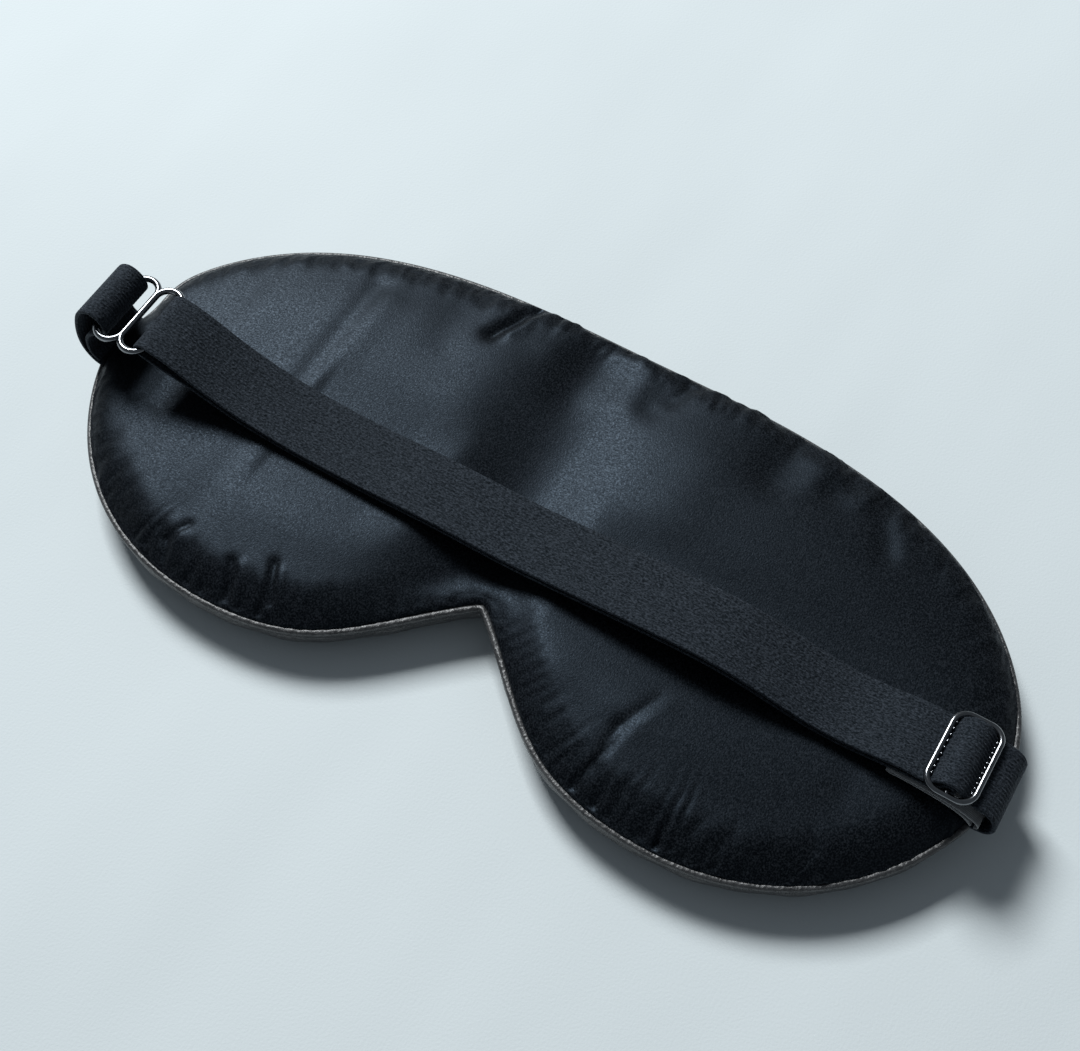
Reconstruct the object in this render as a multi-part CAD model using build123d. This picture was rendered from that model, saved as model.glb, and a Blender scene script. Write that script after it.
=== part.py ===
from build123d import *
import os

# A padded sleep eye mask lying face down, its satin back up, in millimetres.
# X runs along the mask, the nose notch points to -Y, Z is up, and the table is z = 0.

# Mask body
HALF_LENGTH = 105.0          # middle of the mask to its end
NOTCH_Y = -22.0              # apex of the nose notch
TOP_Y = 49.0                 # forehead edge
SHRINK_Y = 13.0              # the point that smaller outlines shrink towards
SEAM_Z = 8.3                 # the liner lies here, where the panels meet
RIM_Z = 9.2                  # top of the rolled leather rim
CROWN_Z = 13.0               # top of the padded lobes
LEATHER = 0.9                # thickness of the front panel
SATIN = 0.5                  # thickness of the back panel
LINER = 0.4                  # thickness of the blackout liner
VALLEY_R = 70.0              # the soft valley between the two lobes
VALLEY_Z = 9.6               # lowest line of the valley

# Elastic strap
STRAP_WIDTH = 15.0
STRAP_THICK = 1.0
STRAP_Y = -6.2               # centre line of the strap
TAB_WIDTH = 14.6             # the ring squeezes the tab a little
LAYER_PITCH = 1.4            # centre of the upper layer to centre of the lower one
BEND_X = 2.0                 # where the strap arches
BEND_GAP = 0.4

# Metal ring, a figure of eight made of round wire
RING_WIRE = 1.4
RING_Z = 24.5
RING_PITCH = 6.3             # distance between neighbouring bars
RING_HEIGHT = 17.3           # wire centre to wire centre
RING_RIGHT_X = -87.2         # the bar that the strap folds round

# Slider, a rounded rectangle of round wire with a middle bar
SLIDER_WIRE = 1.3
SLIDER_X = 95.8
SLIDER_Z = 19.0
SLIDER_LENGTH = 9.6          # wire centre to wire centre, along the strap
SLIDER_HEIGHT = 17.0
SLIDER_CORNER = 3.0
END_LOOP_THICK = 0.9         # sewn end of the strap, pressed thin on the bar

# Blank ribbon label, folded double
LABEL_WIDTH = 12.0
LABEL_THICK = 0.8
LABEL_Y = STRAP_Y - (STRAP_WIDTH - LABEL_WIDTH) / 2

# Stitches
STITCH_COUNT = 64            # along each half of the edge
STITCH_LENGTH = 2.4
STITCH_WIDTH = 0.45
STITCH_HEIGHT = 0.5
TACK_X = 101.5               # bar tacks across the sewn-in band ends
TACK_LENGTH = 1.6
TACK_PITCH = 2.2


def outline_curve(scale_x=1.0, scale_y=1.0):
    """Right half of the outline, from the notch to the forehead edge."""
    knots = [(0, NOTCH_Y), (13, -33.8), (27, -44.6), (46, -49.4), (66, -47.6), (84, -38.8),
             (99, -21.5), (HALF_LENGTH, 2), (96.5, 21.5), (78, 37.2), (48, 46.9), (0, TOP_Y)]
    points = [(x * scale_x, SHRINK_Y + (y - SHRINK_Y) * scale_y) for x, y in knots]
    return Spline(*points, tangents=[(0.78 * scale_x, -0.62 * scale_y), (-1, 0)])


def outline_face(scale_x=1.0, scale_y=1.0):
    half = outline_curve(scale_x, scale_y)
    return make_face(half + mirror(half, about=Plane.YZ))


def pillow(levels):
    """Solid lofted through shrunken outlines, each given as x scale, y scale and height."""
    sections = [Pos(0, 0, z) * outline_face(sx, sy) for sx, sy, z in levels]
    return loft(sections, ruled=True)


def valley(depth=0.0):
    """The hollow that runs from the notch to the forehead edge."""
    radius = VALLEY_R + depth
    axis = Pos(0, 0, VALLEY_Z + VALLEY_R) * Rot(90, 0, 0)
    return axis * Cylinder(radius, 3 * TOP_Y)


def front_panel():
    """Leather front with its rolled rim, open towards the back."""
    outside = pillow([(0.88, 0.86, 0), (0.955, 0.94, 2.0), (0.99, 0.982, 4.6), (1, 1, 7.2),
                      (0.995, 0.992, RIM_Z)])
    hollow = pillow([(0.87, 0.85, LEATHER), (0.943, 0.923, 2.6), (0.976, 0.962, 4.8),
                     (0.988, 0.976, 7.2), (0.977, 0.964, RIM_Z + 1)])
    return outside - hollow


def front_wadding():
    return pillow([(0.868, 0.848, LEATHER), (0.94, 0.92, 2.6), (0.973, 0.959, 4.8),
                   (0.985, 0.973, 7.2), (0.982, 0.97, SEAM_Z - LINER)])


def blackout_liner():
    return Pos(0, 0, SEAM_Z - LINER) * extrude(outline_face(0.978, 0.965), LINER)


def dome(inset, drop):
    """Upper half of the body, made smaller by inset and lower by drop."""
    s = 1 - inset
    levels = [(0.972 * s, 0.957 * s, SEAM_Z), (0.965 * s, 0.945 * s, 9.6 - drop),
              (0.925 * s, 0.9 * s, 11.7 - drop), (0.8 * s, 0.77 * s, CROWN_Z - drop)]
    return pillow(levels) - valley(drop)


def back_panel():
    return dome(0, 0) - dome(0.006, SATIN)


def back_wadding():
    return dome(0.008, SATIN + 0.05)


def edge_stitches():
    """Short thread stitches on the rim, one row all the way round."""
    line = outline_curve(0.984, 0.974)
    group = []
    for index in range(STITCH_COUNT):
        place = (index + 0.5) / STITCH_COUNT
        spot = line.position_at(place)
        turn = line.tangent_angle_at(place)
        stitch = Box(STITCH_LENGTH, STITCH_WIDTH, STITCH_HEIGHT)
        placed = Pos(spot.X, spot.Y, RIM_Z) * Rot(0, 0, turn) * stitch
        group += [placed, mirror(placed, about=Plane.YZ)]
    return Compound(children=group)


def band(path, y=STRAP_Y, width=STRAP_WIDTH, thick=STRAP_THICK):
    """Flat band whose centre line is a path given as (x, z) pairs."""
    ribbon = trace(Spline(*path), line_width=thick)
    return Pos(0, y + width / 2, 0) * extrude(Plane.XZ * ribbon, width)


def strap_left():
    """Left half of the strap: upper layer, fold round the ring's bar, lower layer."""
    start = BEND_X - BEND_GAP / 2
    upper = [(start, 16.2), (-16, 16.3), (-32, 15.7), (-55, 16.1), (-72, 19.8), (-82, 25.0)]
    fold = [(-87.6, 26.7), (-90.6, 24.3), (-88, 21.9)]
    lower = [(-82, 20.9), (-72, 18.1), (-55, 14.7), (-32, 14.3), (-16, 14.9),
             (start, 16.2 - LAYER_PITCH)]
    return band(upper + fold + lower)


RIGHT_RISE = [(BEND_X + BEND_GAP / 2, 16.2), (20, 17.1), (40, 17.5), (60, 17.3), (76, 17.2)]


def strap_feed():
    """Upper layer of the right half, through the slider and down to the right seam."""
    return band(RIGHT_RISE + [(90, 17.4), (100, 17.3), (105.6, 14), (106, 10.2)])


def strap_return():
    """Lower layer of the right half, which runs back from the ring to the slider."""
    lower = [(x, z - LAYER_PITCH) for x, z in RIGHT_RISE] + [(93, 17.4 - LAYER_PITCH)]
    return band(lower)


def strap_anchor():
    """End of the strap that is sewn into the right seam."""
    return band([(97, SEAM_Z + 0.2), (101, SEAM_Z + 0.25), (106, SEAM_Z + 0.5)])


def strap_hump():
    """Strap where it climbs over the slider's middle bar."""
    return band([(92.8, 19.3), (93.9, 20.6), (SLIDER_X, 21.3), (97.7, 20.6), (98.8, 19.3)])


def strap_end_loop():
    """Sewn end of the strap on the slider's middle bar."""
    radius = SLIDER_WIRE / 2 + END_LOOP_THICK / 2 + 0.05
    turn = CenterArc((SLIDER_X, SLIDER_Z), radius, 0, 180)
    ribbon = trace(turn, line_width=END_LOOP_THICK)
    return Pos(0, STRAP_Y + STRAP_WIDTH / 2, 0) * extrude(Plane.XZ * ribbon, STRAP_WIDTH)


def strap_tab():
    """Short elastic loop that holds the ring to the left seam."""
    outer = [(-105.9, 10.4), (-108.2, 15), (-106.6, 21.5), (-103.2, 26.4)]
    roll = [(-99.6, 28.1), (-96.3, 25.4), (-97, 21.8), (-100, 20.5)]
    inner = [(-103.6, 17.6), (-105.2, 14.4), (-104.4, 11.6)]
    return band(outer + roll + inner, width=TAB_WIDTH)


def tab_anchor():
    """End of the tab that is sewn into the left seam."""
    return band([(-97, SEAM_Z + 0.2), (-101, SEAM_Z + 0.25), (-106, SEAM_Z + 0.5)])


def seam_tack(x):
    """Two rows of short stitches across a sewn-in strap end."""
    stitch = Box(STITCH_WIDTH, TACK_LENGTH, STITCH_HEIGHT)
    rows = [Pos(x + dx, STRAP_Y + TACK_PITCH * step, RIM_Z + 0.35) * stitch
            for dx in (-0.6, 0.6) for step in range(-3, 4)]
    return Compound(children=rows)


def care_label():
    """Blank folded ribbon, sewn into the right seam under the strap."""
    path = [(84.6, 14.2), (92, 14), (98, 13), (102.6, 11.4), (104.9, 9.8)]
    return band(path, y=LABEL_Y, width=LABEL_WIDTH, thick=LABEL_THICK)


def wire_loop(length, height, corner, wire):
    """Closed loop of round wire in the XY plane."""
    path = RectangleRounded(length, height, corner).wire()
    section = Plane(path @ 0, z_dir=path % 0) * Circle(wire / 2)
    return sweep(section, path=path)


def ring_window():
    """Wire of one window, open at the middle bar, which lies on the Y axis."""
    corner = RING_PITCH / 2
    straight = RING_HEIGHT / 2 - corner
    end = CenterArc((corner, straight), corner, 180, -180)
    bar = Line(end @ 1, (RING_PITCH, -straight))
    other_end = CenterArc((corner, -straight), corner, 0, -180)
    path = Wire([end, bar, other_end])
    return sweep(Plane(path @ 0, z_dir=path % 0) * Circle(RING_WIRE / 2), path=path)


def strap_ring():
    """Two long rounded windows that share a slightly thicker middle bar."""
    window = ring_window()
    middle = Rot(90, 0, 0) * Cylinder(RING_WIRE / 2 + 0.04, RING_HEIGHT - RING_PITCH + 1.2)
    ring = middle + window + mirror(window, about=Plane.YZ)
    return Pos(RING_RIGHT_X - RING_PITCH, STRAP_Y, RING_Z) * ring


def slider():
    frame = wire_loop(SLIDER_LENGTH, SLIDER_HEIGHT, SLIDER_CORNER, SLIDER_WIRE)
    bar = Rot(90, 0, 0) * Cylinder(SLIDER_WIRE / 2, SLIDER_HEIGHT)
    return Pos(SLIDER_X, STRAP_Y, SLIDER_Z) * (frame + bar)


PARTS = {
    "front_panel": front_panel(),
    "front_wadding": front_wadding(),
    "blackout_liner": blackout_liner(),
    "back_wadding": back_wadding(),
    "back_panel": back_panel(),
    "edge_stitches": edge_stitches(),
    "strap_left": strap_left(),
    "strap_feed": strap_feed(),
    "strap_return": strap_return(),
    "strap_anchor": strap_anchor(),
    "strap_hump": strap_hump(),
    "strap_end_loop": strap_end_loop(),
    "strap_tab": strap_tab(),
    "tab_anchor": tab_anchor(),
    "strap_tack": seam_tack(TACK_X),
    "tab_tack": seam_tack(-TACK_X),
    "care_label": care_label(),
    "strap_ring": strap_ring(),
    "slider": slider(),
}

for node, shape in PARTS.items():
    export_step(shape, f"parts/{node}.step")
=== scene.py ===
"""A padded sleep eye mask, face down: satin back, leather front, elastic strap, wire ring and slider."""
import math
import bpy
import numpy as np
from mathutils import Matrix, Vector
from mathutils.geometry import delaunay_2d_cdt
from mathutils.kdtree import KDTree


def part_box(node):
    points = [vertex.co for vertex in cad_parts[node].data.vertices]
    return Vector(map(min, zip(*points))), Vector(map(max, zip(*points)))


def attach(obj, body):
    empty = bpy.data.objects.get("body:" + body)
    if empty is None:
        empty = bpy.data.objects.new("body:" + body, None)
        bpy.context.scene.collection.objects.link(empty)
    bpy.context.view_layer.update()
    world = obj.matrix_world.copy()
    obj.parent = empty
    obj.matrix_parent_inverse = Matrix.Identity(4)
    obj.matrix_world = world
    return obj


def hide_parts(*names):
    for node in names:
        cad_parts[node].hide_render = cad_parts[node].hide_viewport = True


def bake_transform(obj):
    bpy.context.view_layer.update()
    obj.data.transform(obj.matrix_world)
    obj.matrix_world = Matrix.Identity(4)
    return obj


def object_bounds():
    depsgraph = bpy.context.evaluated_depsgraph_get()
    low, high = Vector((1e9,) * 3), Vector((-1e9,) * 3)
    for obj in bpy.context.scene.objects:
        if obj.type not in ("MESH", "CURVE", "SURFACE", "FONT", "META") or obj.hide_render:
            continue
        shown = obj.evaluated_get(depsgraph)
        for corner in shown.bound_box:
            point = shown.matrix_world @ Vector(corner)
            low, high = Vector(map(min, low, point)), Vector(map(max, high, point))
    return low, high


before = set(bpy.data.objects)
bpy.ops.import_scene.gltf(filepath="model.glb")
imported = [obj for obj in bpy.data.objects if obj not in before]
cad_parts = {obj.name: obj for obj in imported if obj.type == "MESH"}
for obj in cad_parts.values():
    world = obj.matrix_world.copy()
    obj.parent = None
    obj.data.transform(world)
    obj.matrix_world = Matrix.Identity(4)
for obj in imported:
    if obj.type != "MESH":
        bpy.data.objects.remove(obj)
CAD_LOW, CAD_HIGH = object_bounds()

# Shapes are worked out in millimetres, in the frame's own axes, and made in metres.
MM = 0.001
CENTRE_Y = (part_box("strap_feed")[0].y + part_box("strap_feed")[1].y) / 2 / MM
SEAM_Z = 8.4                 # height of the edge seam
RIM_WIDTH = 1.2              # leather edge that shows outside the satin
CROWN = 4.7                  # height of the padded back over its seam
BAND = 15.0                  # width of the elastic
THICK = 1.0                  # thickness of the elastic
RIB_PITCH = 0.75             # spacing of the elastic's lengthwise ribs
RIB_DEPTH = 0.19
# The middle bar of the slider.
BAR_Z = (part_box("slider")[0].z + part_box("slider")[1].z) / 2 / MM
BAR_X = (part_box("slider")[0].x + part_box("slider")[1].x) / 2 / MM


# ---------------------------------------------------------------- curves

def spline(knots, start=None, end=None, step=0.5):
    """Points about step apart on the smooth curve through knots, with given end directions."""
    knots = np.array(knots, float)
    span = np.linalg.norm(np.diff(knots, axis=0), axis=1)
    n = len(knots)
    slopes, rows = np.zeros((n, knots.shape[1])), np.zeros((n, n))
    for i in range(1, n - 1):
        rows[i, i - 1:i + 2] = span[i], 2 * (span[i - 1] + span[i]), span[i - 1]
        slopes[i] = 3 * (span[i - 1] * (knots[i + 1] - knots[i]) / span[i]
                         + span[i] * (knots[i] - knots[i - 1]) / span[i - 1])
    for i, beside, direction in ((0, 1, start), (n - 1, n - 2, end)):
        rows[i, i] = 1
        if direction is None:
            first = min(i, beside)
            rows[i, beside] = 0.5
            slopes[i] = 1.5 * (knots[first + 1] - knots[first]) / span[first]
        else:
            slopes[i] = np.array(direction, float) / np.linalg.norm(direction)
    tangents = np.linalg.solve(rows, slopes)
    pieces = []
    for i in range(n - 1):
        t = np.linspace(0, 1, 60, endpoint=False)[:, None]
        a, b, da, db = knots[i], knots[i + 1], tangents[i] * span[i], tangents[i + 1] * span[i]
        pieces.append((1 + 2 * t) * (1 - t) ** 2 * a + t * (1 - t) ** 2 * da
                      + t * t * (3 - 2 * t) * b + t * t * (t - 1) * db)
    return spaced(np.vstack(pieces + [knots[-1:]]), step)


def spaced(points, step):
    """The same line, with its points evenly spaced."""
    along = np.r_[0, np.cumsum(np.linalg.norm(np.diff(points, axis=0), axis=1))]
    count = max(2, int(round(along[-1] / step)) + 1)
    at = np.linspace(0, along[-1], count)
    return np.column_stack([np.interp(at, along, column) for column in points.T])


def smooth_step(x, low, high):
    t = np.clip((x - low) / (high - low), 0, 1)
    return t * t * (3 - 2 * t)


# ---------------------------------------------------------------- the outline

# Right half of the mask's edge, from the notch round to the middle of the far side.
HALF_OUTLINE = [(0, -22), (13, -33.8), (27, -44.6), (46, -49.4), (66, -47.6), (84, -38.8),
                (99, -21.5), (105, 2), (96.5, 21.5), (78, 37.2), (48, 46.9), (0, 49)]
TAB_PULL = 3.0               # how far the tab's end of the mask is drawn in


def closed_outline(step):
    """The mask's edge, anticlockwise from the notch; its tab end is drawn in by the pull of the strap."""
    right = spline(HALF_OUTLINE, (0.78, -0.62), (-1, 0), step)
    left = right[::-1] * (-1, 1)
    left[:, 0] += TAB_PULL * np.exp(-((left[:, 1] - 3.5) / 8) ** 2) * (left[:, 0] < -80)
    return np.vstack([right, left[1:-1]])


def inward(edge, blur):
    """Unit directions into the mask, smoothed along the edge by blur points."""
    along = np.roll(edge, -1, 0) - np.roll(edge, 1, 0)
    normal = np.column_stack([-along[:, 1], along[:, 0]])
    normal /= np.linalg.norm(normal, axis=1)[:, None]
    weights = np.exp(-(np.arange(-3 * blur, 3 * blur + 1) / blur) ** 2 / 2)
    shifts = range(-3 * blur, 3 * blur + 1)
    total = sum(w * np.roll(normal, shift, 0) for shift, w in zip(shifts, weights))
    return total / np.linalg.norm(total, axis=1)[:, None]


FINE_STEP = 0.4
FINE_EDGE = closed_outline(FINE_STEP)
FINE_INWARD = inward(FINE_EDGE, 8)
EDGE_LENGTH = FINE_STEP * len(FINE_EDGE)
# Stretches of the edge, by distance along it from the notch: each fades in over its first pair and
# out over its second.
FAR_FROM, FAR_TO = (165, 185), (292, 312)
UPPER_FROM, UPPER_TO = (140, 175), (420, 450)
LATTICE_ROW = 0.866          # height of a triangle of the net, as a share of its side


def edge_place(points):
    """Distance to the edge, and how far along the edge its nearest point is."""
    tree = KDTree(len(FINE_EDGE))
    for i, p in enumerate(FINE_EDGE):
        tree.insert((p[0], p[1], 0), i)
    tree.balance()
    found = [tree.find((p[0], p[1], 0)) for p in points]
    distance = np.array([f[2] for f in found])
    along = np.array([f[1] for f in found]) / len(FINE_EDGE) * EDGE_LENGTH
    return distance, along


def panel_net(first, rows, pitch):
    """Flat triangle net inside the edge: rows along the edge, then an even lattice.

    Gives its points, its faces, and which points are on its border."""
    edge = closed_outline(pitch)
    normal = inward(edge, max(1, int(round(2.0 / pitch))))
    loops = [edge + normal * d for d in [first] + rows]
    last = loops[-1]
    low, high = last.min(0), last.max(0)
    lattice = []
    for j, y in enumerate(np.arange(low[1], high[1], pitch * LATTICE_ROW)):
        xs = np.arange(low[0] + pitch / 2 * (j % 2), high[0], pitch)
        lattice.append(np.column_stack([xs, np.full(len(xs), y)]))
    lattice = np.vstack(lattice)
    distance, _ = edge_place(lattice)
    inside = within(lattice, edge) & (distance > rows[-1] + pitch * 0.75)
    points = np.vstack(loops + [lattice[inside]])
    n = len(edge)
    ring = [(i, (i + 1) % n) for i in range(n)]
    made = delaunay_2d_cdt([Vector(p) for p in points], ring, [], 1, 1e-6)
    flat = np.array([(v.x, v.y) for v in made[0]])
    source = np.array([ids[0] if ids else -1 for ids in made[3]])
    return flat, [tuple(f) for f in made[2]], (source >= 0) & (source < n)


def within(points, polygon):
    """Which points lie inside a closed polygon."""
    inside = np.zeros(len(points), bool)
    before = polygon[-1]
    for after in polygon:
        if before[1] != after[1]:
            crosses = (polygon_side(before, points) != polygon_side(after, points))
            x = before[0] + (points[:, 1] - before[1]) / (after[1] - before[1]) * (after[0] - before[0])
            inside ^= crosses & (points[:, 0] < x)
        before = after
    return inside


def polygon_side(corner, points):
    return corner[1] > points[:, 1]


# ---------------------------------------------------------------- mesh helpers

def make_mesh(name, points, faces, smooth=True):
    """A mesh object from points in millimetres."""
    mesh = bpy.data.meshes.new(name)
    mesh.from_pydata([tuple(p) for p in np.asarray(points, float) * MM], [], faces)
    mesh.update()
    mesh.polygons.foreach_set("use_smooth", [smooth] * len(mesh.polygons))
    piece = bpy.data.objects.new(name, mesh)
    bpy.context.scene.collection.objects.link(piece)
    return piece


def points_of(piece):
    co = np.empty(len(piece.data.vertices) * 3)
    piece.data.vertices.foreach_get("co", co)
    return co.reshape(-1, 3) / MM


def set_points(piece, points):
    piece.data.vertices.foreach_set("co", (np.asarray(points) * MM).ravel())
    piece.data.update()


def dress(piece, look, slot, *nodes):
    """Gives a piece its material, and lets it stand for its CAD nodes."""
    piece.data.materials.append(look)
    if nodes:
        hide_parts(*nodes)


def finish_piece(piece, body, look, slot, *nodes):
    """Dresses a piece that rides whole on one body."""
    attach(piece, body)
    dress(piece, look, slot, *nodes)
    return piece


# ---------------------------------------------------------------- the padded back

# Soft ridges (+) and hollows (-): start, end, width and height, on the flat plan.
SWELLS = [
    ((-60.5, 33), (-60, -4), 2.6, -0.42), ((-56.0, 30), (-56, -4), 3.4, 0.22),
    ((-84.5, 25), (-84, 10), 3.6, -0.2), ((-79, 26), (-78, 8), 4.5, 0.15),
    ((-42, 45), (-40, 28), 4.5, -0.3), ((-27, 36), (-27, 8), 9.0, 0.5),
    ((-8, 47), (-10, 31), 5.5, -0.9), ((-18, 46), (-19, 38), 4.0, 0.4),
    ((8, 46), (7, 36), 3.8, -0.6), ((1, 46), (2, 34), 3.5, 0.4),
    ((13.5, 45.5), (10, 40), 2.2, -0.5), ((24, 44), (23, 12), 8.0, 0.45),
    ((38, 45), (37, 33), 4.6, -0.8), ((45.5, 43), (45, 37), 2.8, 0.35),
    ((51, 42), (49, 36), 3.0, -0.35), ((55.5, 41), (55, 36), 2.6, 0.25),
    ((60, 39), (64.5, 29), 2.6, -0.4), ((65, 36), (68, 31), 2.8, 0.25),
    ((86, -15), (88, -17), 4.0, 0.5), ((77, -14), (79, -22), 4.0, -0.35),
    ((20, -24), (16, -14), 7.0, 0.5), ((-20, -16), (-40, -15), 8.0, 0.4),
    ((-62, -8), (-61, -34), 3.6, -0.25), ((-75, -20), (-72, -36), 5.0, 0.25),
]
# Sharp creases: start, end, width and depth.
CREASES = [
    ((-27, 46.6), (-32, 34.5), 1.6, -1.7), ((-24.4, 46.5), (-28.8, 36.5), 1.5, 0.6),
    ((40.8, -22), (37.2, -31), 1.3, -0.42), ((43.4, -23.5), (39.8, -31), 1.9, 0.1),
    ((37, -31), (36.3, -40), 1.3, -0.4), ((-59.8, -37.5), (-62.3, -42), 0.9, -0.6),
    ((-62.3, -42), (-60, -47), 0.9, -0.7), ((-60, -40), (-59.5, -46), 1.2, 0.35),
    ((-47.4, -40), (-43.6, -47), 0.9, -0.9), ((-45.2, -40), (-42, -46), 1.1, 0.4),
    ((-39.6, -36), (-36, -43), 0.9, -0.8), ((-37.4, -37), (-34, -42.5), 1.1, 0.35),
    ((17.6, 46.6), (18.6, 42.6), 0.7, -0.5), ((20.4, 46.4), (20.8, 43), 0.7, -0.35),
]
# Gathers along the edge: a point beside it, half length, depth, reach inwards and pitch.
GATHERS = [
    ((30, -48), 6, 0.45, 5.0, 3.3), ((44, -50), 11, 1.6, 9.0, 3.7), ((60, -50), 10, 1.0, 7.0, 3.0),
    ((-58, -50), 10, 0.9, 7.0, 4.2), ((-40, -49), 9, 1.0, 7.0, 3.9), ((-76, -46), 8, 0.3, 4.0, 4.1),
    ((18, 50), 12, 0.7, 4.2, 3.4), ((45, 48), 16, 0.6, 5.0, 3.6), ((75, 40), 16, 0.5, 4.5, 3.0),
    ((-8, 50), 10, 0.6, 5.0, 3.6), ((-30, 50), 9, 0.5, 4.5, 3.2), ((10, -31), 8, 0.05, 2.0, 3.1),
    ((-60, 45), 14, 0.3, 3.5, 3.6), ((88, -36), 12, 0.35, 4.0, 2.7), ((104, 8), 16, 0.35, 3.5, 2.6),
    ((-98, 18), 14, 0.25, 3.0, 3.0), ((-12, -32), 7, 0.08, 2.0, 3.1), ((-97, -22), 12, 0.15, 4.0, 3.0),
]


def line_distance(points, start, end):
    a, b = np.array(start, float), np.array(end, float)
    t = np.clip((points - a) @ (b - a) / ((b - a) @ (b - a)), 0, 1)
    return np.linalg.norm(points - a - t[:, None] * (b - a), axis=1)


def far_side(along):
    """1 on the long upper edge, where the satin bulges over the seam, 0 round the rest."""
    return smooth_step(along, *FAR_FROM) * (1 - smooth_step(along, *FAR_TO))


def upper_side(along):
    """1 round the upper half of the edge, where the satin stands up steeply from its seam."""
    return smooth_step(along, *UPPER_FROM) * (1 - smooth_step(along, *UPPER_TO))


def dome(points, distance, along):
    """Height of the stuffed back over the plan, before its folds.

    Its edge is steep round the upper half and a gentle slope round the lobes. A valley runs from the
    notch to the far side between two lobes."""
    d = np.maximum(distance - RIM_WIDTH, 0)
    stand, lip, shoulder = 2.3, 0.7, 4.0
    far = far_side(along)
    uneven = 0.8 + 0.2 * np.sin(along / 2.3 + np.sin(along / 5.1)) * np.sin(along / 7.7)
    edge_bulge = 0.7 * far * uneven * (1 - np.exp(-d / 0.9)) * np.exp(-d / 7)
    steep = stand * (1 - np.exp(-d / 0.9)) + (CROWN - stand) * (1 - np.exp(-d / 10)) + edge_bulge
    rounded = np.sin(np.minimum(d / 9.0, 1) * math.pi / 2)
    slope = (lip * (1 - np.exp(-d / 0.35)) + (shoulder - lip) * rounded
             + (CROWN - shoulder) * (1 - np.exp(-d / 12)))
    share = (0.12 + 0.88 * upper_side(along)) * (1 - smooth_step(d, 6, 20))
    rise = slope + (steep - slope) * share
    x, y = points.T
    valley_x = -4
    depth = 3.4 - 1.7 * smooth_step(y, 0, 45)
    wide = np.where(x < valley_x, 13.5, 11.0)
    valley = depth * np.exp(-(np.abs(x - valley_x) / wide) ** 2.1) * smooth_step(distance, 0.8, 9)
    lobes = 0.7 * np.exp(-((x + 50) / 27) ** 2) + 0.9 * np.exp(-((x - 40) / 30) ** 2)
    return SEAM_Z + rise - valley + lobes * smooth_step(distance, 4, 24)


def bulge_out(points, normals_from, distance, along):
    """Pushes the far side of the satin out over the rim."""
    d = distance - RIM_WIDTH
    push = far_side(along) * smooth_step(d, 0, 0.9) * (1 - smooth_step(d, 1.2, 8))
    uneven = 0.75 + 0.25 * np.sin(along / 1.9) * np.sin(along / 6.3 + 1)
    moved = points.copy()
    moved[:, :2] -= normals_from * (push * uneven)[:, None]
    return moved


def window(along, beside, half):
    """1 near a point of the edge, fading to 0 at half a length to each side."""
    _, centre = edge_place([beside])
    off = np.abs((along - centre[0] + EDGE_LENGTH / 2) % EDGE_LENGTH - EDGE_LENGTH / 2)
    return 1 - smooth_step(off, half * 0.45, half)


def gathers(distance, along):
    """Small folds where the satin is eased into the seam."""
    total = np.zeros(len(along))
    for number, (beside, half, depth, reach, pitch) in enumerate(GATHERS):
        turn = 2 * math.pi * along / pitch
        turn += 1.3 * np.sin(turn / 3.7 + number) + 0.9 * np.sin(turn / 6.1 + 2.1 * number)
        valley = 1 - np.abs(np.sin(turn / 2)) ** 0.8
        uneven = 0.62 + 0.38 * np.sin(turn / 4.3 + 1.7 * number)
        own_reach = reach * (0.7 + 0.3 * np.sin(turn / 2.9 + number))
        fade = np.exp(-(np.maximum(distance - RIM_WIDTH, 0) / own_reach) ** 1.7)
        total -= depth * valley * uneven * fade * window(along, beside, 2 * half)
    return total * smooth_step(distance, RIM_WIDTH, RIM_WIDTH + 1.6)


def folds(points, distance, lines, sharpness):
    """Height added along lines of (start, end, width, height)."""
    total = np.zeros(len(points))
    for start, end, width, height in lines:
        total += height * np.exp(-(line_distance(points, start, end) / width) ** sharpness)
    return total * smooth_step(distance, RIM_WIDTH, RIM_WIDTH + 2.5)


# Lowest centre line, as (x, z), that the strap's lower layer takes over the mask as the slider travels;
# the back stays under it.
UNDER_STRAP = [(-72, 18.1), (-55, 14.7), (-32, 14.25), (-16, 14.6), (2, 14.5), (21, 14.2), (70, 14.15),
               (80, 14.2), (91, 14.5)]


def under_strap(points):
    """Lowers what would touch the strap or the label, with a soft start."""
    x, z = np.array(UNDER_STRAP).T
    clearance, margin, softness = 0.45, 0.2, 0.1
    limit = np.interp(points[:, 0], x, z) - THICK / 2 - clearance
    near = 1 - smooth_step(np.abs(points[:, 1] - CENTRE_Y), BAND / 2 + 1, BAND / 2 + 16)
    above = points[:, 2] - limit + margin
    over = (above + np.sqrt(above ** 2 + softness)) / 2
    lowered = points.copy()
    lowered[:, 2] -= over * near
    return lowered


SOLVER_SCALE = 10.0          # the cloth is simulated ten times life size
SETTLE_FRAMES = 25
PAD_DEPTH = 0.45             # how far under the satin its wadding starts


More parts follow.
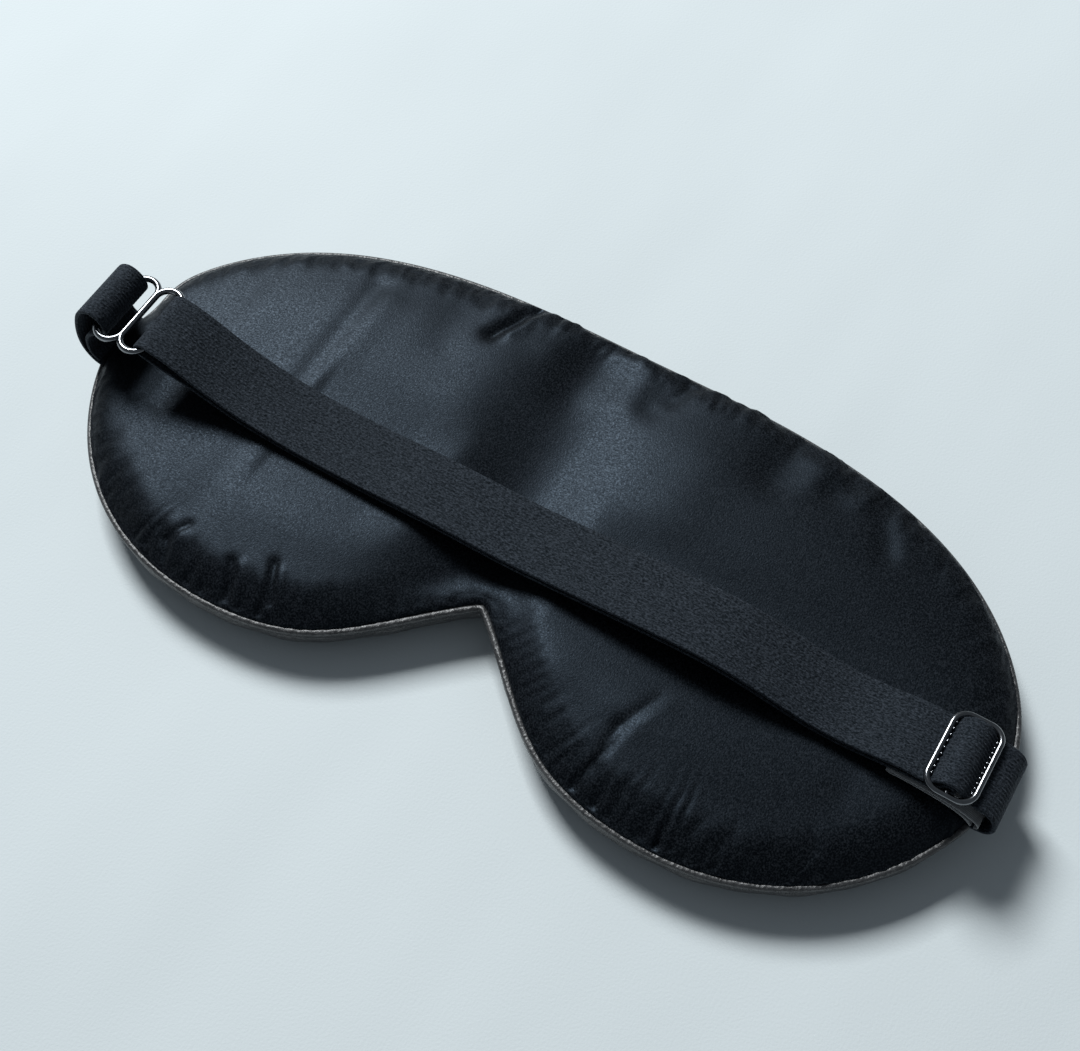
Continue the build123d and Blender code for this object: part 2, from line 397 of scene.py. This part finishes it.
def inflate(piece, pinned, distance, push):
    """Where the satin's points settle in a cloth simulation over the wadding."""
    rest = points_of(piece)
    work = piece.copy()
    work.data = piece.data.copy()
    work.data.transform(scale_matrix(SOLVER_SCALE))
    bpy.context.scene.collection.objects.link(work)
    pad = piece.copy()
    pad.data = piece.data.copy()
    set_points(pad, rest - (0, 0, PAD_DEPTH))
    pad.data.transform(scale_matrix(SOLVER_SCALE))
    bpy.context.scene.collection.objects.link(pad)
    pad.modifiers.new("Collision", "COLLISION")
    pad.collision.thickness_outer = 0.002
    group = work.vertex_groups.new(name="sewn")
    group.add([int(i) for i in np.flatnonzero(pinned)], 1.0, "REPLACE")
    cloth = work.modifiers.new("Cloth", "CLOTH")
    settings = cloth.settings
    settings.quality = 6
    settings.mass = 0.12
    settings.tension_stiffness = settings.compression_stiffness = 12
    settings.shear_stiffness = 4
    settings.bending_stiffness = 0.02
    settings.shrink_min = -0.028
    settings.vertex_group_mass = "sewn"
    settings.use_pressure = True
    settings.uniform_pressure_force = push
    settings.effector_weights.gravity = 0
    cloth.collision_settings.distance_min = 0.003
    cloth.collision_settings.use_self_collision = False
    for number in range(1, SETTLE_FRAMES + 1):
        bpy.context.scene.frame_set(number)
    settled = work.evaluated_get(bpy.context.evaluated_depsgraph_get())
    moved = points_of(settled) / SOLVER_SCALE
    bpy.context.scene.frame_set(1)
    for extra in (work, pad):
        bpy.data.objects.remove(extra)
    # The folds stay small beside the notch and well in from the edge.
    shift = moved - rest
    length = np.linalg.norm(shift, axis=1)
    notch = np.linalg.norm(rest[:, :2] - HALF_OUTLINE[0], axis=1)
    calm = 0.1 + 0.9 * smooth_step(notch, 18, 46)
    most = 0.3 + 1.1 * calm * np.exp(-(distance / 8) ** 2)
    return rest + shift * np.minimum(1, most / np.maximum(length, 1e-6))[:, None]


def scale_matrix(factor):
    matrix = np.diag([factor, factor, factor, 1.0])
    return [list(row) for row in matrix]


def make_back(look):
    flat, faces, border = panel_net(RIM_WIDTH, [1.55, 2.0, 2.6, 3.4, 4.4, 5.5, 6.7], 1.3)
    distance, along = edge_place(flat)
    height = dome(flat, distance, along) + folds(flat, distance, SWELLS, 2)
    height[border] = SEAM_Z
    piece = make_mesh("satin_back", np.column_stack([flat, height]), faces)
    set_points(piece, inflate(piece, border, distance, 2.5))
    refine(piece, 1)
    points = points_of(piece)
    distance, along = edge_place(points[:, :2])
    points[:, 2] += gathers(distance, along) + folds(points[:, :2], distance, CREASES, 1.4)
    nearest = (along / EDGE_LENGTH * len(FINE_EDGE)).round().astype(int) % len(FINE_EDGE)
    points = bulge_out(points, FINE_INWARD[nearest], distance, along)
    set_points(piece, under_strap(points))
    return finish_piece(piece, "mask", look, "satin", "back_panel")


def refine(piece, levels):
    """Subdivides a mesh, and keeps the result as its own points."""
    modifier = piece.modifiers.new("Subdivision", "SUBSURF")
    modifier.levels = modifier.render_levels = levels
    modifier.boundary_smooth = "PRESERVE_CORNERS"
    smoothed = bpy.data.meshes.new_from_object(piece.evaluated_get(bpy.context.evaluated_depsgraph_get()))
    piece.modifiers.clear()
    piece.data = smoothed
    smoothed.polygons.foreach_set("use_smooth", [True] * len(smoothed.polygons))


# ---------------------------------------------------------------- the leather front

# Section of the leather from the stitch line round the rolled rim to the flat that it rests on:
# distance in from the edge and height.
LEATHER_ROLL = [(2.4, 7.9), (1.8, 8.05), (1.5, 8.4), (1.36, 8.8), (1.08, 9.06), (0.6, 9.12),
                (0.22, 8.98), (0.02, 8.6), (0.02, 8.0), (0.2, 7.55), (0.34, 7.15)]
LEATHER_SIDE = [(0.3, 6.5), (0.35, 5.6), (0.7, 4.2), (1.5, 2.8), (3.0, 1.6), (5.2, 0.75), (8.0, 0.25),
                (11.0, 0.03), (13.0, 0.0)]


def make_front(look):
    pitch = 0.6
    edge = closed_outline(pitch)
    normal = inward(edge, 4)
    n = len(edge)
    section = spline(LEATHER_ROLL + LEATHER_SIDE, step=0.42)
    along = np.arange(n) * pitch
    stitch = np.cos(2 * math.pi * along / STITCH_PITCH)
    ease = np.sin(along / 3.1) + 0.7 * np.sin(along / 1.7 + 1)
    points, faces = [], []
    for d, z in section:
        row = edge + normal * d
        dent = 0.05 * math.exp(-((d - 0.8) / 0.4) ** 2) * (z > 8.7) * stitch
        wave = 0.12 * ease * smooth_step(z, 0.3, 3) * (1 - smooth_step(z, 6, 7.5))
        points.append(np.column_stack([row + normal * wave[:, None], z - dent]))
    rows = len(section)
    for r in range(rows - 1):
        for i in range(n):
            j = (i + 1) % n
            faces.append((r * n + i, (r + 1) * n + i, (r + 1) * n + j, r * n + j))
    inner = points[-1][:, :2]
    faces_flat, extra = fill_loop(inner, (rows - 1) * n, rows * n, 3.0)
    points.append(np.column_stack([extra, np.zeros(len(extra))]))
    piece = make_mesh("leather_front", np.vstack(points), faces + faces_flat)
    return finish_piece(piece, "mask", look, "leather", "front_panel")


def fill_loop(loop, first, spare, pitch):
    """Triangles that fill a closed loop whose points start at first, with new points from spare on."""
    low, high = loop.min(0), loop.max(0)
    xs, ys = np.meshgrid(np.arange(low[0], high[0], pitch), np.arange(low[1], high[1], pitch))
    lattice = np.column_stack([xs.ravel(), ys.ravel()])
    gap = np.linalg.norm(lattice[:, None, :] - loop[None, ::4, :], axis=2).min(1)
    lattice = lattice[within(lattice, loop) & (gap > pitch * 0.7)]
    n = len(loop)
    ring = [(i, (i + 1) % n) for i in range(n)]
    made = delaunay_2d_cdt([Vector(p) for p in np.vstack([loop, lattice])], ring, [], 1, 1e-7)
    where = [ids[0] for ids in made[3]]
    names = [first + w if w < n else spare + w - n for w in where]
    return [tuple(names[i] for i in reversed(f)) for f in made[2]], lattice


STITCH_PITCH = 3.0
STITCH_IN = 1.32             # stitch line's distance from the edge
STITCH_HALF = 0.95           # half the length that shows of a stitch
STITCH_Z = 8.86
STITCH_RADIUS = 0.1


def make_stitches(look):
    """One short thread stitch after another along the rim."""
    step = 0.2
    span = STITCH_HALF / step
    line = closed_outline(step)
    path = line + inward(line, 12) * STITCH_IN
    count = int(round(EDGE_LENGTH / STITCH_PITCH))
    points, faces = [], []
    sides, cuts = 6, 6
    for k in range(count):
        centre = (k + 0.5) * len(path) / count
        for c in range(cuts + 1):
            t = c / cuts * 2 - 1
            index = int(round(centre + t * span)) % len(path)
            at, behind = path[index], path[index - 1] - path[index]
            side = np.array([-behind[1], behind[0]]) / max(np.linalg.norm(behind), 1e-9)
            z = STITCH_Z - 0.3 * abs(t) ** 3
            radius = STITCH_RADIUS * math.sqrt(max(0.12, 1 - abs(t) ** 4))
            for s in range(sides):
                angle = 2 * math.pi * s / sides
                offset = side * radius * math.cos(angle)
                points.append((at[0] + offset[0], at[1] + offset[1], z + radius * math.sin(angle)))
        base = k * (cuts + 1) * sides
        faces += tube_faces(base, cuts + 1, sides)
    piece = make_mesh("edge_stitching", points, faces)
    return finish_piece(piece, "mask", look, "thread", "edge_stitches")


def tube_faces(base, rings, sides):
    """Faces of a closed tube, its ends capped."""
    faces = [(base + r * sides + s, base + r * sides + (s + 1) % sides,
              base + (r + 1) * sides + (s + 1) % sides, base + (r + 1) * sides + s)
             for r in range(rings - 1) for s in range(sides)]
    last = base + (rings - 1) * sides
    faces.append(tuple(base + s for s in reversed(range(sides))))
    faces.append(tuple(last + s for s in range(sides)))
    return faces


# ---------------------------------------------------------------- the elastic

def band_section(width, thick, ribbed=True):
    """Closed section of the elastic, as (across, up), with its lengthwise ribs."""
    half = width / 2
    edge = thick * 0.42
    ribs = int((width - 2 * edge) / RIB_PITCH)
    across = np.linspace(-half + edge, half - edge, ribs * 3 + 1)
    groove = 0.5 - 0.5 * np.cos(2 * math.pi * (across + half - edge) / ((width - 2 * edge) / ribs))
    deep = RIB_DEPTH if ribbed else 0.0
    top = thick / 2 - deep * (1 - groove)
    turn = np.linspace(0, math.pi, 7)[1:-1]
    right = np.column_stack([half - edge + edge * np.sin(turn), thick * 0.5 * np.cos(turn)])
    left = np.column_stack([-half + edge - edge * np.sin(turn), -thick * 0.5 * np.cos(turn)])
    upper = np.column_stack([across, top])
    lower = np.column_stack([across[::-1], -top[::-1]])
    return np.vstack([upper, right, lower, left])


def sides_up(line):
    """Unit directions square to a line of (x, z) points, on its left."""
    along = np.gradient(line, axis=0)
    along /= np.linalg.norm(along, axis=1)[:, None]
    return np.column_stack([-along[:, 1], along[:, 0]])


def band(name, line, up, width=BAND, thick=THICK, ribbed=True, centre=CENTRE_Y, ends=(True, True)):
    """Ribbon swept along a line of (x, z) points; ends says which of its two ends is closed."""
    section = band_section(width, thick, ribbed)
    count, rows = len(section), len(line)
    points = np.zeros((rows, count, 3))
    for r in range(rows):
        points[r, :, 0] = line[r, 0] + up[r, 0] * section[:, 1]
        points[r, :, 2] = line[r, 1] + up[r, 1] * section[:, 1]
        points[r, :, 1] = centre + section[:, 0]
    faces = [(r * count + s, r * count + (s + 1) % count, (r + 1) * count + (s + 1) % count,
              (r + 1) * count + s) for r in range(rows - 1) for s in range(count)]
    for closed, row, order in ((ends[0], 0, -1), (ends[1], rows - 1, 1)):
        if closed:
            faces.append(tuple(row * count + s for s in range(count))[::order])
    return make_mesh(name, points.reshape(-1, 3), faces)


# The whole strap as one line of (x, z) points: out of the right seam, through the slider, along to the
# ring, round its bar, back underneath, and round the slider's middle bar to its sewn end.
SEAM_LOOP = [(100.5, 8.7), (103.2, 8.9), (105.4, 9.6), (106.3, 11.6), (106.1, 14.0), (104.7, 16.3)]
UPPER = [(102.6, 17.3), (100.6, 17.75), (99.3, 18.4), (97.9, 20.2), (95.8, 21.15), (93.7, 20.2),
         (92.3, 18.4), (91, 17.75), (88, 17.7), (80, 16.6), (70, 15.7), (60, 17.4), (50, 19.4), (37, 19.5),
         (21, 18.0), (10, 17.0), (2, 16.35), (-16, 16.35), (-32, 15.65), (-55, 16.1), (-66, 18.3),
         (-74, 21.2), (-82, 24.9)]
RING_TURN = [(-85.4, 25.9), (-87.4, 26.05), (-88.75, 25.3), (-89.1, 24.1), (-88.6, 22.9), (-87.3, 22.2),
             (-85.2, 21.6)]
LOWER = [(-82, 20.9), (-74, 18.9), (-66, 16.4), (-55, 14.75), (-32, 14.3), (-16, 15.0), (2, 14.95),
         (10, 15.5), (21, 16.5), (37, 17.9), (50, 17.8), (60, 15.9), (70, 14.3), (80, 15.1), (88, 16.15),
         (91, 16.2), (93.6, 16.75), (95.9, 17.85), (96.95, 19.0), (95.8, 20.15), (94.65, 19.1),
         (93.6, 18.05)]
# The tab goes out of the left seam, over the ring's bar and back into the seam.
TAB = [(-100.5, 8.75), (-103.2, 9.0), (-105.0, 10.5), (-106.4, 14.6), (-106.1, 19.0), (-105.0, 23.2),
       (-103.0, 26.9), (-100.3, 28.35), (-97.95, 27.1), (-97.2, 24.5), (-98.3, 22.2), (-100.2, 21.1),
       (-102.4, 19.6), (-104.0, 16.9), (-104.4, 13.6), (-103.8, 11.3), (-102.4, 10.35)]
TAB_BAND = 14.7
# The label goes out of the right seam, folds over under the strap and comes back.
LABEL = [(102.4, 9.75), (101.2, 11.1), (98.6, 12.55), (94.5, 13.5), (90, 13.9), (86, 13.95),
         (84.6, 14.1), (84.25, 14.45), (84.65, 14.8), (86.2, 14.75), (90, 14.7), (94.8, 14.4),
         (99.4, 13.5), (102.4, 12.1), (103.7, 10.8), (103.7, 9.9), (103.1, 9.55)]
CUT_X = 10.0                 # where the two halves of the strap meet
SLIDER_END_X = 102.6         # where the strap's upper layer leaves the loop out of the seam
ROOT_Z = 10.9                # up to here the loop is held by the seam
LOOP_POINTS = 60             # points of the strap's line that are enough to hold its loop


def make_strap(look):
    """The strap in five lengths, cut only where its bodies change."""
    line = spline(SEAM_LOOP + UPPER + RING_TURN + LOWER, step=0.45)
    up = sides_up(line)
    turn = int(np.argmin(line[:, 0]))
    loop_x, loop_z = line[:LOOP_POINTS].T
    root = int(np.argmax(loop_z > ROOT_Z))
    upper = loop_z >= 14
    leave = int(np.argmin(np.where(upper, np.abs(loop_x - SLIDER_END_X), np.inf)))
    out = leave + int(np.argmin(np.abs(line[leave:turn, 0] - CUT_X)))
    home = turn + int(np.argmin(np.abs(line[turn:, 0] - CUT_X)))
    parts = (("strap_seam_root", 0, root, ("strap_anchor",)),
             ("strap_seam_end", root, leave, ()),
             ("strap_upper", leave, out, ("strap_feed", "strap_hump")),
             ("strap_ring_half", out, home, ("strap_left",)),
             ("strap_lower", home, len(line) - 1, ("strap_return", "strap_end_loop")))
    made = {}
    for name, first, last, nodes in parts:
        piece = band(name, line[first:last + 1], up[first:last + 1],
                     ends=(first == 0, last == len(line) - 1))
        dress(piece, look, "elastic", *nodes)
        made[name] = piece
    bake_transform(made["strap_ring_half"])
    for name in ("strap_upper", "strap_lower"):
        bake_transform(made[name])
    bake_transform(made["strap_seam_end"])
    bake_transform(made["strap_seam_root"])


def make_tab(look):
    line = spline(TAB, step=0.4)
    piece = band("ring_tab", line, sides_up(line), width=TAB_BAND)
    dress(piece, look, "elastic", "strap_tab", "tab_anchor")
    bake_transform(piece)


def make_label(look):
    """A blank folded ribbon. Its flat length is the length of its folded line."""
    width = 12.0
    line = spline(LABEL, step=0.35)
    piece = band("care_ribbon", line, sides_up(line), width=width, thick=0.28, ribbed=False,
                 centre=CENTRE_Y - (BAND - width) / 2 - 0.1)
    return finish_piece(piece, "mask", look, "ribbon", "care_label")


def capsules(name, middles, half, radius, arch=0.0):
    """Short round-ended threads or studs, each lying across the mask at its middle.

    half is half their length, and arch is how far their ends dip."""
    points, faces = [], []
    sides, cuts = 8, 6
    for number, (x, y, z) in enumerate(middles):
        for c in range(cuts + 1):
            t = c / cuts * 2 - 1
            thick = radius * math.sqrt(max(0.1, 1 - abs(t) ** 4))
            for s in range(sides):
                angle = 2 * math.pi * s / sides
                points.append((x + thick * math.cos(angle), y + half * t,
                               z - arch * abs(t) ** 3 + thick * math.sin(angle)))
        faces += tube_faces(number * (cuts + 1) * sides, cuts + 1, sides)
    return make_mesh(name, points, faces)


def make_tack(name, x, node, look):
    """Two rows of short stitches across a sewn-in end."""
    middles = [(x + row, CENTRE_Y + (k - 4) * 1.5, 9.45) for row in (-0.7, 0.7) for k in range(9)]
    return finish_piece(capsules(name, middles, 0.6, 0.19, 0.3), "mask", look, "thread", node)


def make_grips(look):
    """Small studs along the inner sides of the slider's two outer bars, which grip the elastic."""
    out = 4.8                # from the middle bar to an outer bar
    left = [(BAR_X - out + 0.75, CENTRE_Y + (k - 4) * 1.45, BAR_Z + 0.1) for k in range(9)]
    right = [(BAR_X + out - 0.78, CENTRE_Y + (k - 5) * 1.15, BAR_Z + 0.02) for k in range(11)]
    return finish_piece(capsules("slider_grips", left + right, 0.3, 0.2), "slider", look, "black_metal")


# ---------------------------------------------------------------- what is inside

def make_inside(back, wadding_look, liner_look):
    """Wadding for both sides and the blackout liner between them, all under the panels."""
    skin, reach, clearance = 0.9, 3.4, 0.5
    flat, faces, border = panel_net(2.6, [4.0, 6.0, 8.5], 2.6)
    distance, _ = edge_place(flat)
    top = KDTree(len(back.data.vertices))
    satin = points_of(back)
    for i, p in enumerate(satin):
        top.insert((p[0], p[1], 0), i)
    top.balance()
    ceiling = np.array([min(satin[i][2] for _, i, _ in top.find_range((p[0], p[1], 0), reach))
                        for p in flat])
    upper = np.maximum(ceiling - clearance, SEAM_Z + 0.12)
    upper[border] = SEAM_Z + 0.12
    side_d, side_z = np.array(LEATHER_SIDE).T
    lower = np.interp(distance - skin, side_d, side_z) + skin
    lower[border] = SEAM_Z - 0.55
    lower = np.minimum(lower, SEAM_Z - 0.55)
    level = np.ones(len(flat)) * SEAM_Z
    for name, low, high, node, look, slot in (
            ("wadding_back", level + 0.1, upper, "back_wadding", wadding_look, "wadding"),
            ("blackout_liner_sheet", level - 0.4, level, "blackout_liner", liner_look, "liner"),
            ("wadding_front", lower, level - 0.5, "front_wadding", wadding_look, "wadding")):
        piece = slab(name, flat, faces, low, high)
        finish_piece(piece, "mask", look, slot, node)


def slab(name, flat, faces, low, high):
    """Closed solid between two heights over the same net."""
    n = len(flat)
    sides = dict.fromkeys(side for f in faces for side in zip(f, f[1:] + f[:1]))
    rim = [(a, b) for a, b in sides if (b, a) not in sides]
    walls = [(b, a, a + n, b + n) for a, b in rim]
    top = [tuple(i + n for i in f) for f in faces]
    bottom = [tuple(reversed(f)) for f in faces]
    points = np.vstack([np.column_stack([flat, low]), np.column_stack([flat, high])])
    return make_mesh(name, points, bottom + top + walls)


# ---------------------------------------------------------------- materials

class Look:
    """A material under construction: its Principled shader and its nodes."""

    def __init__(self, name, **values):
        self.material = bpy.data.materials.new(name)
        self.material.use_nodes = True
        self.nodes = self.material.node_tree.nodes
        self.links = self.material.node_tree.links
        self.shader = self.nodes["Principled BSDF"]
        self.place = self.nodes.new("ShaderNodeTexCoord").outputs["Object"]
        for key, value in values.items():
            self.shader.inputs[key.replace("_", " ")].default_value = value

    def mapped(self, stretch):
        node = self.nodes.new("ShaderNodeMapping")
        node.inputs["Scale"].default_value = stretch
        self.links.new(self.place, node.inputs["Vector"])
        return node.outputs["Vector"]

    def noise(self, scale, detail=3.0, rough=0.55, stretch=(1, 1, 1)):
        node = self.nodes.new("ShaderNodeTexNoise")
        node.inputs["Scale"].default_value = scale
        node.inputs["Detail"].default_value = detail
        node.inputs["Roughness"].default_value = rough
        self.links.new(self.mapped(stretch), node.inputs["Vector"])
        return node.outputs["Fac"]

    def cells(self, scale, stretch=(1, 1, 1)):
        node = self.nodes.new("ShaderNodeTexVoronoi")
        node.inputs["Scale"].default_value = scale
        self.links.new(self.mapped(stretch), node.inputs["Vector"])
        return node.outputs["Distance"]

    def wave(self, scale, direction):
        node = self.nodes.new("ShaderNodeTexWave")
        node.bands_direction = direction
        node.inputs["Scale"].default_value = scale
        self.links.new(self.place, node.inputs["Vector"])
        return node.outputs["Fac"]

    def colour(self, source, low, high, start=0.3, end=0.7):
        """Base colour, from low where source is under start to high where it is over end."""
        node = self.nodes.new("ShaderNodeValToRGB")
        for stop, position, colour in zip(node.color_ramp.elements, (start, end), (low, high)):
            stop.position, stop.color = position, (*colour, 1)
        self.links.new(source, node.inputs["Fac"])
        self.links.new(node.outputs["Color"], self.shader.inputs["Base Color"])

    def roughness(self, source, low, high):
        node = self.nodes.new("ShaderNodeMapRange")
        node.inputs["To Min"].default_value, node.inputs["To Max"].default_value = low, high
        self.links.new(source, node.inputs["Value"])
        self.links.new(node.outputs["Result"], self.shader.inputs["Roughness"])

    def bump(self, *layers):
        """Each layer is a height source with its depth in metres."""
        normal = None
        for source, depth in layers:
            node = self.nodes.new("ShaderNodeBump")
            node.inputs["Strength"].default_value = 1.0
            node.inputs["Distance"].default_value = depth
            self.links.new(source, node.inputs["Height"])
            if normal is not None:
                self.links.new(normal, node.inputs["Normal"])
            normal = node.outputs["Normal"]
        self.links.new(normal, self.shader.inputs["Normal"])


def satin_look():
    look = Look("satin", Specular_IOR_Level=0.155, Specular_Tint=(0.56, 0.76, 1.0, 1),
                Sheen_Weight=0.02, Sheen_Roughness=0.4, Sheen_Tint=(0.62, 0.78, 1.0, 1))
    speck = look.noise(3100, 1, 0.5, (1, 0.8, 1))
    look.colour(speck, (0.0003, 0.0004, 0.0006), (0.0125, 0.0145, 0.0175), 0.42, 0.7)
    look.roughness(look.noise(3000, 1, 0.5, (0.8, 1, 1)), 0.2, 0.72)
    look.bump((look.noise(60, 3), 0.0001), (look.noise(3600, 1, 0.5, (1, 0.7, 1)), 0.00004))
    return look.material


def leather_look():
    look = Look("synthetic_leather", Roughness=0.38, Specular_IOR_Level=0.75,
                Coat_Weight=0.12, Coat_Roughness=0.4)
    look.colour(look.noise(300, 4), (0.018, 0.0185, 0.0195), (0.042, 0.043, 0.045))
    look.roughness(look.noise(1200, 3), 0.3, 0.55)
    look.bump((look.cells(1300), 0.00014), (look.noise(1100, 4, 0.65), 0.0002))
    return look.material


def elastic_look():
    look = Look("black_elastic", Roughness=0.78, Specular_IOR_Level=0.2, Specular_Tint=(0.6, 0.8, 1.0, 1),
                Sheen_Weight=0.09, Sheen_Roughness=0.5, Sheen_Tint=(0.75, 0.85, 1.0, 1))
    grain = look.noise(2600, 2, 0.7, (0.7, 1.3, 1))
    look.colour(grain, (0.0004, 0.0007, 0.0012), (0.036, 0.042, 0.052), 0.4, 0.7)
    look.roughness(look.noise(1600, 2), 0.66, 0.9)
    look.bump((look.cells(1500, (1.0, 1.3, 1)), 0.00012), (look.noise(3200, 2, 0.7), 0.00006))
    return look.material


def metal_look():
    look = Look("black_metal", Metallic=1.0, Roughness=0.16, Coat_Weight=0.5, Coat_Roughness=0.06)
    look.colour(look.noise(250, 3), (0.13, 0.137, 0.147), (0.2, 0.208, 0.22))
    look.roughness(look.noise(900, 4), 0.12, 0.24)
    look.bump((look.noise(500, 3), 0.000012))
    return look.material


def ribbon_look():
    look = Look("ribbon", Roughness=0.45, Specular_IOR_Level=0.5, Sheen_Weight=0.2, Sheen_Roughness=0.4)
    look.colour(look.noise(900, 2), (0.26, 0.27, 0.28), (0.34, 0.35, 0.36))
    look.bump((look.wave(900, "X"), 0.00002), (look.wave(900, "Y"), 0.00002))
    return look.material


def thread_look():
    look = Look("thread", Roughness=0.6, Specular_IOR_Level=0.2)
    look.colour(look.noise(2500, 2), (0.003, 0.0035, 0.004), (0.01, 0.011, 0.012))
    look.bump((look.wave(1400, "DIAGONAL"), 0.00005))
    return look.material


def wadding_look():
    look = Look("wadding", Roughness=0.95, Subsurface_Weight=0.1)
    look.colour(look.noise(400, 5), (0.7, 0.7, 0.68), (0.86, 0.86, 0.84))
    look.bump((look.noise(700, 5, 0.7), 0.0004))
    return look.material


def liner_look():
    look = Look("blackout_cloth", Roughness=0.85)
    look.colour(look.noise(1500, 2), (0.008, 0.008, 0.008), (0.02, 0.02, 0.02))
    look.bump((look.wave(1500, "X"), 0.00004), (look.wave(1500, "Y"), 0.00004))
    return look.material


def table_look():
    look = Look("pale_cloth", Roughness=0.9, Specular_IOR_Level=0.2)
    look.colour(look.noise(6, 2), (0.625, 0.675, 0.69), (0.66, 0.71, 0.725))
    look.bump((look.noise(7, 3, 0.6, (1, 0.45, 1)), 0.003), (look.noise(1800, 2), 0.00004))
    return look.material


# ---------------------------------------------------------------- stage, light and camera

def make_stage():
    bpy.ops.mesh.primitive_plane_add(size=4.0)
    floor = bpy.context.object
    floor.name = "table"
    floor.location.z = CAD_LOW.z - 0.0001
    floor.data.materials.append(table_look())


def aim(thing, place, target):
    thing.location = place
    thing.rotation_mode = "QUATERNION"
    thing.rotation_quaternion = (Vector(target) - Vector(place)).to_track_quat("-Z", "Y")


def area_light(name, place, size, watts, colour):
    data = bpy.data.lights.new(name, "AREA")
    data.shape = "RECTANGLE"
    data.size, data.size_y = size
    data.energy, data.color = watts, colour
    lamp = bpy.data.objects.new(name, data)
    bpy.context.scene.collection.objects.link(lamp)
    aim(lamp, place, (0, 0, 0))


def make_lights():
    """A window high on the left, and a dim pale room."""
    area_light("window", (-1.05, 0.75, 1.39), (0.66, 0.66), 47.0, (0.95, 0.985, 1.0))
    world = bpy.data.worlds.new("studio")
    world.use_nodes = True
    world.node_tree.nodes["Background"].inputs["Color"].default_value = (0.80, 0.90, 1.0, 1)
    world.node_tree.nodes["Background"].inputs["Strength"].default_value = 0.15
    bpy.context.scene.world = world


def make_camera():
    """Looks down on the mask from its notch side."""
    distance = 0.36
    azimuth, elevation = math.radians(30.9), math.radians(60.2)
    back = Vector((math.sin(azimuth) * math.cos(elevation), -math.cos(azimuth) * math.cos(elevation),
                   math.sin(elevation)))
    target = Vector((-0.0023, 0.00525, 0))
    data = bpy.data.cameras.new("camera")
    data.lens, data.sensor_width = 56.67, 36.0
    data.clip_start, data.clip_end = 0.01, 10
    camera = bpy.data.objects.new("camera", data)
    bpy.context.scene.collection.objects.link(camera)
    aim(camera, target + back * distance, target)
    bpy.context.scene.camera = camera


def main():
    make_camera()
    make_lights()
    make_stage()
    bpy.context.scene.view_settings.view_transform = "Standard"
    elastic, thread = elastic_look(), thread_look()
    back = make_back(satin_look())
    make_front(leather_look())
    make_stitches(thread)
    make_inside(back, wadding_look(), liner_look())
    make_strap(elastic)
    make_tab(elastic)
    make_label(ribbon_look())
    make_tack("strap_bar_tack", 101.5, "strap_tack", thread)
    make_tack("tab_bar_tack", -101.5, "tab_tack", thread)
    metal = metal_look()
    make_grips(metal)
    for node in ("strap_ring", "slider"):
        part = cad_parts[node]
        part.data.materials.clear()
        part.data.materials.append(metal)


main()
